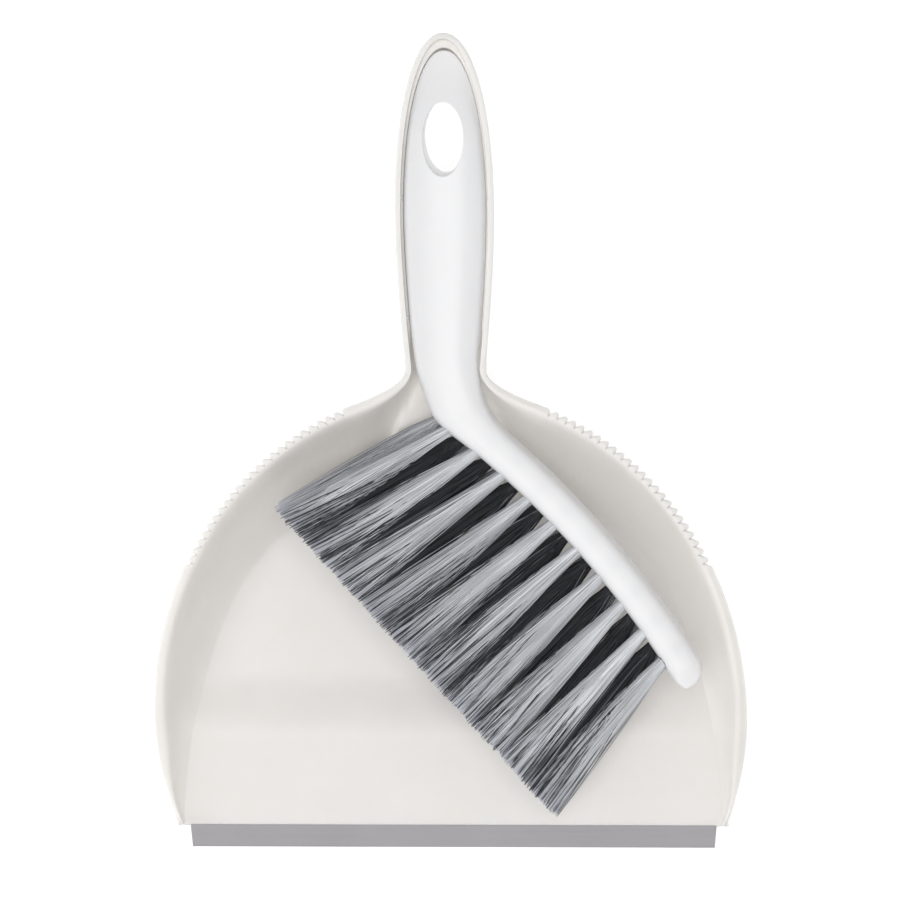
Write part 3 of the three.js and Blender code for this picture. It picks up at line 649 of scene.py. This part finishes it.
def through(rows, share):
    """A smooth curve through rows at whole numbers: each stretch is a cubic on its four nearest rows."""
    padded = np.concatenate([[2 * rows[0] - rows[1]], rows, [2 * rows[-1] - rows[-2]]])
    i = np.clip(share.astype(int), 0, len(rows) - 2)
    t = (share - i)[:, None]
    a, b, c, d = (padded[i + k] for k in range(4))
    return b + 0.5 * t * (c - a + t * (2 * a - 5 * b + 4 * c - d + t * (3 * (b - c) + d - a)))


def brush_shell(material):
    """The brush body: a squared oval section run along its rows, with its holes and hollow cut in."""
    rows = brush_rows()
    fine = through(rows, np.linspace(0, len(rows) - 1, (len(rows) - 1) * 6 + 1))
    fine[[0, -1]] = rows[[0, -1]]
    body = settled(fine, 10)
    step = np.arange(len(fine))
    settle = smooth((step - 60) / 30) * smooth((len(fine) - 90 - step) / 20)
    fine = lerp(fine, body, settle[:, None])
    inner, outer, thick, square = fine[:, :2], fine[:, 2:4], fine[:, 4], fine[:, 5]
    turn = np.linspace(0, 2 * math.pi, 65)[:-1] + math.pi / 64
    power = (2 / square)[:, None]
    c = np.sign(np.cos(turn)) * np.abs(np.cos(turn)) ** power
    s = np.sign(np.sin(turn)) * np.abs(np.sin(turn)) ** power
    middle, half = (inner + outer) / 2, (outer - inner) / 2
    flat = middle[:, None] + half[:, None] * c[..., None]
    height = thick[:, None] * s
    block = smooth((square - 2.6) / 1.2)[:, None]
    slope = BLOCK_SLOPE * block * smooth(c + 0.35)
    lower = (1 - end_share(flat[..., 1])) * (1 - slope / thick.max())
    height = np.where(s > 0, height * lower, height)
    points = in_plane(np.concatenate([flat, height[..., None]], -1)).reshape(-1, 3)
    points, whole, triangles = merged(points, grid_faces(len(fine), 64, closed=True))
    faces = [*whole, *triangles]
    piece = make_object("brush_shell", points, faces, "brush", ["brush_body"], material)
    face_outward(piece.data)
    hang_hole = oval_tool(0, -11.4, 11.2, HOLE_FLARE, tilted=True)
    cut(piece, [hollow_tool(), hang_hole, root_holes_tool()])


def face_outward(mesh):
    """Turns every face round if the mesh's signed volume is negative."""
    work = bmesh.new()
    work.from_mesh(mesh)
    if work.calc_volume(signed=True) < 0:
        bmesh.ops.reverse_faces(work, faces=work.faces)
    work.to_mesh(mesh)
    work.free()


def hollow_tool():
    """The hollow under the handle: a chamfered trough that follows the outline, inset by the wall."""
    y = np.linspace(141, 33, 40)
    reach = np.clip((y - HANDLE_WIDE_Y) / (BRUSH_TIP_REACH - BRUSH_WALL), 0, 1)
    wide = (HANDLE_HALF - BRUSH_GAP - BRUSH_WALL) * (1 - reach**SQUARENESS) ** (1 / SQUARENESS)
    half = np.where(y > HANDLE_WIDE_Y, wide, handle_half(y) - BRUSH_GAP - BRUSH_WALL)
    top = HANDLE_THICK * (1 - reach**4 * 0.45) * (1 - end_share(y)) - BRUSH_WALL - 0.4
    right = [(1, None), (1, -5.0), (0.9, -2.0), (0.62, 0.0)]
    spots = [(-1, None), *right, *[(-s, d) for s, d in right[:0:-1]]]
    rings = [np.stack([half * s, y, np.full_like(y, -20) if d is None else top + d], -1) for s, d in spots]
    hollow = stack_tool(in_plane(np.stack(rings, 1)))
    face_outward(hollow.data)
    keeps = [oval_tool(COLLAR_WALL, -30, 30, tilted=True)]
    keeps += [rib_tool(y) for y in INNER_RIBS_Y]
    for keep in keeps:
        face_outward(keep.data)
    cut(hollow, keeps)
    return hollow


def root_holes_tool():
    """Round closed pegs, one down each tuft's line into the block, joined in one tool."""
    turn = np.linspace(0, 2 * math.pi, 25)[:-1]
    points, faces = [], []
    for _, place, tip, z, *_ in tuft_places():
        way = (tip - place) / np.linalg.norm(tip - place)
        side = np.array([-way[1], way[0]])
        for along in (-ROOT_DEPTH, 5.0):
            flat = place + way * along + ROOT_HOLE * np.cos(turn)[:, None] * side
            points.append(np.column_stack([flat, z + ROOT_HOLE * np.sin(turn)]))
        start = (len(points) - 2) * 24
        faces += (grid_faces(2, 24, closed=True) + start).tolist()
        faces += [list(range(start + 23, start - 1, -1)), list(range(start + 24, start + 48))]
    tool = tool_object(in_plane(np.concatenate(points)), faces)
    face_outward(tool.data)
    return tool


def rib_tool(y):
    """A thin wall across the handle that the hollow leaves standing."""
    corners = [(-20, y - 1), (20, y - 1), (20, y + 1), (-20, y + 1)]
    rings = [[(cx, cy, z) for cx, cy in corners] for z in (-9.0, 21.0)]
    return stack_tool(in_plane(np.array(rings, float)))


# ---------- bristles ----------

ROWS = (
    ("tuft_top", 10, 0.055, 0.1005, ROW_STEP, "light", 0.93, 1.0, 380),
    ("tuft_middle", 9, 0.105, 0.1005, 0.0, "dark", 0.85, 0.55, 340),
    ("tuft_bottom", 9, 0.02, 0.1165, -ROW_STEP, "light", 0.93, 0.7, 260),
)
CLUMPS = 11


def tuft(name, place, tip, z, half, count, lean, fan, material):
    """A bundle of bristles: thin three-sided tapering tubes, packed in a round root, fanning to the tip."""
    way = tip - place
    length = np.linalg.norm(way)
    way = way / length
    tip_way = (TIPS_TO - TIPS_FROM) / np.linalg.norm(TIPS_TO - TIPS_FROM)
    side = np.array([-way[1], way[0]])
    radius, turn = np.sqrt(chance.random(count)), chance.random(count) * 2 * math.pi
    a, b = radius * np.cos(turn), radius * np.sin(turn)
    clump_a, clump_b = chance.uniform(-1, 1, CLUMPS), chance.uniform(-1, 1, CLUMPS)
    clump_tone, clump_bow = chance.random(CLUMPS), chance.normal(size=CLUMPS)
    mine = np.argmin((a[:, None] - clump_a) ** 2 + 0.4 * (b[:, None] - clump_b) ** 2, axis=1)
    gathered = lerp(a, clump_a[mine], 0.42)
    loose = chance.random(count) > (0.82 if z == 0 else 0.93)
    stray = np.where(loose, chance.uniform(-0.9, 0.9, count) - 0.5 * lean, 0)
    end_a = np.clip(gathered + 0.2 * chance.normal(size=count) + stray, -1.15, 1.15) * half
    end_b = np.clip(b + 0.12 * chance.normal(size=count), -1, 1) * TUFT_THICK + 9.5 * loose * (z == 0)
    bow_a = 0.4 * chance.normal(size=count) + 0.5 * clump_bow[mine]
    bow_b = 0.45 * chance.normal(size=count)
    short = np.abs(chance.normal(size=count)) * 1.1 + 0.7 * np.abs(clump_bow[mine])
    # Painted shade: filaments towards a tuft's sides take a darker tone, in place of the shade inside the
    # bundle; the rest of the tone differs at random, per filament and per clump.
    middle = 1 - np.minimum(1, np.abs(a)) ** 1.5
    tone = 0.1 + 0.25 * chance.random(count) + 0.25 * clump_tone[mine] + 0.5 * middle
    # The dark row keeps this painted side shade, scaled down, and lets a few pale filaments through.
    if z == 0:
        tone = np.where(chance.random(count) > 0.93, 0.9, 0.15 * tone)
    steps = 9
    t = np.concatenate([[0], np.linspace(0, 1, steps - 1)])[None, :]
    spread = (0.25 * t**0.3 + 0.75 * t**fan) if z == 0 else t**fan
    packed, bend = ROOT_RADIUS - 0.1, np.sin(math.pi * t)
    across = lerp((a * packed)[:, None], end_a[:, None], spread) + bow_a[:, None] * bend
    deep = lerp((b * packed)[:, None], end_b[:, None], spread) + bow_b[:, None] * bend
    along = t * (length - short)[:, None]
    along[:, 0] = 0.8 - ROOT_DEPTH
    mixed = lerp(side, tip_way, t[0][:, None])
    mixed /= np.linalg.norm(mixed, axis=1, keepdims=True)
    centre = place + way * along[..., None] + mixed[None] * across[..., None]
    centre = np.concatenate([centre, (z + deep)[..., None]], -1)
    angle = (chance.random(count) * 2 * math.pi)[:, None] + np.array([0, 1, 2]) * 2 * math.pi / 3
    thin = lerp(0.21, 0.15, t[0])
    offset_a = np.cos(angle)[:, None, :] * thin[None, :, None]
    offset_b = np.sin(angle)[:, None, :] * thin[None, :, None]
    ring = centre[:, :, None, :] + offset_a[..., None] * np.append(side, 0) + offset_b[..., None] * [0, 0, 1]
    points = in_plane(ring).reshape(-1, 3)
    one = grid_faces(steps, 3, closed=True)
    base = (np.arange(count) * steps * 3)[:, None, None]
    faces = (one[None] + base).reshape(-1, 4)
    ends = np.concatenate([np.array([[0, 2, 1]]), np.array([[0, 1, 2]]) + (steps - 1) * 3])
    caps = (ends[None] + base).reshape(-1, 3)
    faces = [*faces[:, ::-1], *caps[:, ::-1]]
    piece = make_object(name + "_bristles", points, faces, "brush", [name], material, 180)
    # The shade values hold each filament's random tone together with the painted shade at the tuft's sides.
    point_values(piece.data, "shade", np.repeat(tone, steps * 3))
    point_values(piece.data, "run", np.tile(np.repeat(t[0], 3), count))


def point_values(mesh, name, values):
    """A named number on every point of a mesh, for its material to read."""
    made = mesh.attributes.new(name, "FLOAT", "POINT")
    made.data.foreach_set("value", values.astype(np.float32))


def tuft_places():
    """Each tuft's name, root, tip, height and look; roots follow the face and tips the trimmed line."""
    for name, count, first, pitch, z, tone, share, fan, bristles in ROWS:
        half = np.linalg.norm(TIPS_TO - TIPS_FROM) / count / 2 * share
        for i in range(count):
            place = face_point(first + pitch * i)[0]
            tip = lerp(TIPS_FROM, TIPS_TO, (i + 0.5) / count)
            lean = (i == count - 1) - float(i == 0)
            yield f"{name}_{i + 1:02d}", place, tip, z, half, tone, fan, bristles, lean


def all_tufts(materials):
    """Three rows of tufts whose tips share the trimmed line between them."""
    for name, place, tip, z, half, tone, fan, bristles, lean in tuft_places():
        tuft(name, place, tip, z, half, bristles, lean, fan, materials[tone])


# ---------- shared effects, as shader groups ----------

def new_group(name, inputs, outputs):
    """An empty shader node group with named sockets, each given as (name, type, default)."""
    group = bpy.data.node_groups.new(name, "ShaderNodeTree")
    for label, kind, default in inputs:
        socket = group.interface.new_socket(label, in_out="INPUT", socket_type=kind)
        if default is not None:
            socket.default_value = default
    for label, kind in outputs:
        group.interface.new_socket(label, in_out="OUTPUT", socket_type=kind)
    return group, group.nodes.new("NodeGroupInput"), group.nodes.new("NodeGroupOutput")


def node(tree, kind, **settings):
    """A node with its properties set; keys that name sockets set their values."""
    made = tree.nodes.new(kind)
    for key, value in settings.items():
        if hasattr(made, key):
            setattr(made, key, value)
        else:
            made.inputs[key.replace("_", " ").title()].default_value = value
    return made


def grain_group():
    """Moulded grain: fine and coarse noise in object space, mixed, as a height and as a soft mottle."""
    group, source, sink = new_group(
        "moulded_grain",
        [("Fine Scale", "NodeSocketFloat", 2600.0), ("Coarse Scale", "NodeSocketFloat", 60.0)],
        [("Height", "NodeSocketFloat"), ("Mottle", "NodeSocketFloat")],
    )
    place = group.nodes.new("ShaderNodeTexCoord")
    fine = node(group, "ShaderNodeTexNoise", detail=2.0)
    coarse = node(group, "ShaderNodeTexNoise", detail=4.0)
    mix = node(group, "ShaderNodeMath", operation="MULTIPLY_ADD")
    mix.inputs[1].default_value = 0.35
    links = group.links
    links.new(place.outputs["Object"], fine.inputs["Vector"])
    links.new(place.outputs["Object"], coarse.inputs["Vector"])
    links.new(source.outputs["Fine Scale"], fine.inputs["Scale"])
    links.new(source.outputs["Coarse Scale"], coarse.inputs["Scale"])
    links.new(fine.outputs["Fac"], mix.inputs[0])
    links.new(coarse.outputs["Fac"], mix.inputs[2])
    links.new(mix.outputs[0], sink.inputs["Height"])
    links.new(coarse.outputs["Fac"], sink.inputs["Mottle"])
    return group


def wear_group():
    """Edge wear: where the surface is sharply convex, broken up by noise, from 0 to 1."""
    group, source, sink = new_group(
        "edge_wear",
        [("Amount", "NodeSocketFloat", 0.5), ("Break Up Scale", "NodeSocketFloat", 180.0)],
        [("Mask", "NodeSocketFloat")],
    )
    place = group.nodes.new("ShaderNodeTexCoord")
    geometry = group.nodes.new("ShaderNodeNewGeometry")
    edge = node(group, "ShaderNodeMapRange")
    edge.inputs["From Min"].default_value = 0.54
    edge.inputs["From Max"].default_value = 0.62
    noise = node(group, "ShaderNodeTexNoise", detail=3.0)
    broken = node(group, "ShaderNodeMath", operation="MULTIPLY")
    scaled = node(group, "ShaderNodeMath", operation="MULTIPLY")
    links = group.links
    links.new(geometry.outputs["Pointiness"], edge.inputs["Value"])
    links.new(place.outputs["Object"], noise.inputs["Vector"])
    links.new(source.outputs["Break Up Scale"], noise.inputs["Scale"])
    links.new(edge.outputs["Result"], broken.inputs[0])
    links.new(noise.outputs["Fac"], broken.inputs[1])
    links.new(broken.outputs[0], scaled.inputs[0])
    links.new(source.outputs["Amount"], scaled.inputs[1])
    links.new(scaled.outputs[0], sink.inputs["Mask"])
    return group


def dust_group():
    """Settled dust: a patchy noise kept to surfaces that face up, from 0 to 1."""
    group, source, sink = new_group(
        "settled_dust",
        [("Patch Scale", "NodeSocketFloat", 22.0), ("Amount", "NodeSocketFloat", 0.3)],
        [("Mask", "NodeSocketFloat")],
    )
    place = group.nodes.new("ShaderNodeTexCoord")
    geometry = group.nodes.new("ShaderNodeNewGeometry")
    split = group.nodes.new("ShaderNodeSeparateXYZ")
    noise = node(group, "ShaderNodeTexNoise", detail=6.0, roughness=0.65)
    patch = node(group, "ShaderNodeMapRange")
    patch.inputs["From Min"].default_value = 0.45
    patch.inputs["From Max"].default_value = 0.75
    upward = node(group, "ShaderNodeMath", operation="MULTIPLY", use_clamp=True)
    scaled = node(group, "ShaderNodeMath", operation="MULTIPLY", use_clamp=True)
    links = group.links
    links.new(place.outputs["Object"], noise.inputs["Vector"])
    links.new(source.outputs["Patch Scale"], noise.inputs["Scale"])
    links.new(noise.outputs["Fac"], patch.inputs["Value"])
    links.new(geometry.outputs["Normal"], split.inputs["Vector"])
    links.new(split.outputs["Z"], upward.inputs[0])
    links.new(patch.outputs["Result"], upward.inputs[1])
    links.new(upward.outputs[0], scaled.inputs[0])
    links.new(source.outputs["Amount"], scaled.inputs[1])
    links.new(scaled.outputs[0], sink.inputs["Mask"])
    return group


def use_group(tree, group, **values):
    """A node that uses a shared group, with its input sockets set by name."""
    made = tree.nodes.new("ShaderNodeGroup")
    made.node_tree = group
    for key, value in values.items():
        made.inputs[key.replace("_", " ").title()].default_value = value
    return made


# ---------- materials ----------

def blank_material(name):
    """A material, its node tree and its Principled shader."""
    material = bpy.data.materials.new(name)
    material.use_nodes = True
    return material, material.node_tree, material.node_tree.nodes["Principled BSDF"]


def mixed_colour(tree, first, second, mask):
    """A colour mix between two colours, or an earlier mix and a colour, driven by a mask output."""
    mix = node(tree, "ShaderNodeMix", data_type="RGBA")
    if isinstance(first, tuple):
        mix.inputs[6].default_value = (*first, 1)
    else:
        tree.links.new(first, mix.inputs[6])
    mix.inputs[7].default_value = (*second, 1)
    tree.links.new(mask, mix.inputs[0])
    return mix.outputs[2]


def ranged(tree, value, low, high):
    """A value from 0.3 to 0.7 stretched to run from low to high."""
    scale = node(tree, "ShaderNodeMapRange")
    scale.inputs["From Min"].default_value = 0.3
    scale.inputs["From Max"].default_value = 0.7
    scale.inputs["To Min"].default_value = low
    scale.inputs["To Max"].default_value = high
    tree.links.new(value, scale.inputs["Value"])
    return scale.outputs["Result"]


def bumped(tree, shader, height, distance, strength=1.0):
    """A bump from a height, in metres, on the shader's normal."""
    bump = node(tree, "ShaderNodeBump")
    bump.inputs["Strength"].default_value = strength
    bump.inputs["Distance"].default_value = distance
    tree.links.new(height, bump.inputs["Height"])
    tree.links.new(bump.outputs["Normal"], shader.inputs["Normal"])


def plastic(name, colour, deep, worn, roughness, groups, bump, dust, glow):
    """Moulded plastic: a faint mottle, fine grain, scuffed edges and a trace of dust."""
    material, tree, shader = blank_material(name)
    grain = use_group(tree, groups["grain"])
    wear = use_group(tree, groups["wear"], amount=0.5)
    settled_dust = use_group(tree, groups["dust"], amount=dust)
    mottle = ranged(tree, grain.outputs["Mottle"], 0.0, 1.0)
    body = mixed_colour(tree, deep, colour, mottle)
    worn_body = mixed_colour(tree, body, worn, wear.outputs["Mask"])
    dusty = mixed_colour(tree, worn_body, (0.62, 0.59, 0.54), settled_dust.outputs["Mask"])
    tree.links.new(dusty, shader.inputs["Base Color"])
    tree.links.new(ranged(tree, grain.outputs["Mottle"], *roughness), shader.inputs["Roughness"])
    shader.inputs["IOR"].default_value = 1.49
    shader.inputs["Subsurface Weight"].default_value = glow
    shader.inputs["Subsurface Radius"].default_value = (1.0, 0.92, 0.82)
    shader.inputs["Subsurface Scale"].default_value = 0.004
    bumped(tree, shader, grain.outputs["Height"], bump)
    return material


def rubber(groups):
    """Grey lip: fine drag lines along its length, a soft mottle and a dull sheen."""
    material, tree, shader = blank_material("lip_rubber")
    place = tree.nodes.new("ShaderNodeTexCoord")
    stretch = node(tree, "ShaderNodeMapping")
    stretch.inputs["Scale"].default_value = (14, 900, 900)
    streak = node(tree, "ShaderNodeTexNoise", detail=5.0)
    tree.links.new(place.outputs["Object"], stretch.inputs["Vector"])
    tree.links.new(stretch.outputs["Vector"], streak.inputs["Vector"])
    streak.inputs["Scale"].default_value = 1.0
    grain = use_group(tree, groups["grain"], coarse_scale=26.0)
    lines = ranged(tree, streak.outputs["Fac"], 0.0, 1.0)
    body = mixed_colour(tree, (0.275, 0.267, 0.277), (0.31, 0.30, 0.315), lines)
    patch = ranged(tree, grain.outputs["Mottle"], 0.0, 0.7)
    tree.links.new(mixed_colour(tree, body, (0.33, 0.32, 0.335), patch), shader.inputs["Base Color"])
    tree.links.new(ranged(tree, streak.outputs["Fac"], 0.5, 0.68), shader.inputs["Roughness"])
    bumped(tree, shader, streak.outputs["Fac"], 0.0001)
    return material


def bristle(name, dark, bright, tip, roughness):
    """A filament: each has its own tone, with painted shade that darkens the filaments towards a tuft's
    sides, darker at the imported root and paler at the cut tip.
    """
    material, tree, shader = blank_material(name)
    shade = node(tree, "ShaderNodeAttribute", attribute_name="shade")
    run = node(tree, "ShaderNodeAttribute", attribute_name="run")
    place = tree.nodes.new("ShaderNodeTexCoord")
    noise = node(tree, "ShaderNodeTexNoise", detail=3.0)
    noise.inputs["Scale"].default_value = 260.0
    tree.links.new(place.outputs["Object"], noise.inputs["Vector"])
    # The shade attribute mixes each filament's random tone with painted shade towards the tuft's sides.
    body = mixed_colour(tree, dark, bright, shade.outputs["Fac"])
    tipped = node(tree, "ShaderNodeMapRange")
    tipped.inputs["From Min"].default_value = 0.55
    tipped.inputs["To Max"].default_value = 0.6
    tree.links.new(run.outputs["Fac"], tipped.inputs["Value"])
    tree.links.new(mixed_colour(tree, body, tip, tipped.outputs["Result"]), shader.inputs["Base Color"])
    rough = ranged(tree, noise.outputs["Fac"], roughness - 0.08, roughness + 0.08)
    tree.links.new(rough, shader.inputs["Roughness"])
    bumped(tree, shader, noise.outputs["Fac"], 0.00003)
    return material


def steel(groups):
    """Flat wire: drawn steel with a faint grain and brighter worn edges."""
    material, tree, shader = blank_material("anchor_steel")
    grain = use_group(tree, groups["grain"], fine_scale=4000.0)
    wear = use_group(tree, groups["wear"], amount=0.8)
    mottle = ranged(tree, grain.outputs["Mottle"], 0.0, 1.0)
    body = mixed_colour(tree, (0.42, 0.43, 0.45), (0.55, 0.56, 0.58), mottle)
    worn = mixed_colour(tree, body, (0.7, 0.7, 0.72), wear.outputs["Mask"])
    tree.links.new(worn, shader.inputs["Base Color"])
    tree.links.new(ranged(tree, grain.outputs["Height"], 0.3, 0.5), shader.inputs["Roughness"])
    shader.inputs["Metallic"].default_value = 1.0
    return material


def give_anchors(material):
    """The wire anchors stay the CAD's own nodes and only take this finish."""
    for name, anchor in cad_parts.items():
        if name.startswith("anchor"):
            for slot in anchor.material_slots:
                slot.material = material


# ---------- the set ----------

look_from_above(target=(-0.0014, -0.00295, 0), distance=4.0, lean_degrees=4.3, width=0.36)
studio()
groups = {"grain": grain_group(), "wear": wear_group(), "dust": dust_group()}
pan_plastic = plastic(
    "pan_plastic", (0.685, 0.672, 0.655), (0.668, 0.655, 0.638), (0.72, 0.708, 0.692),
    roughness=(0.36, 0.46), groups=groups, bump=0.00004, dust=0.06, glow=0.7,
)
brush_plastic = plastic(
    "brush_plastic", (0.92, 0.92, 0.93), (0.905, 0.905, 0.915), (0.94, 0.94, 0.94),
    roughness=(0.3, 0.38), groups=groups, bump=0.00002, dust=0.03, glow=0.2,
)
bristles = {
    "light": bristle("bristle_light", (0.16, 0.17, 0.2), (0.96, 0.975, 1.0), (0.84, 0.86, 0.94), 0.38),
    "dark": bristle("bristle_dark", (0.006, 0.007, 0.009), (0.27, 0.28, 0.31), (0.07, 0.075, 0.085), 0.5),
}
pan_pieces = [pan_shell(pan_plastic), *click_ribs(pan_plastic), lip_strip(rubber(groups))]
wall_fill(pan_pieces)
brush_shell(brush_plastic)
all_tufts(bristles)
give_anchors(steel(groups))
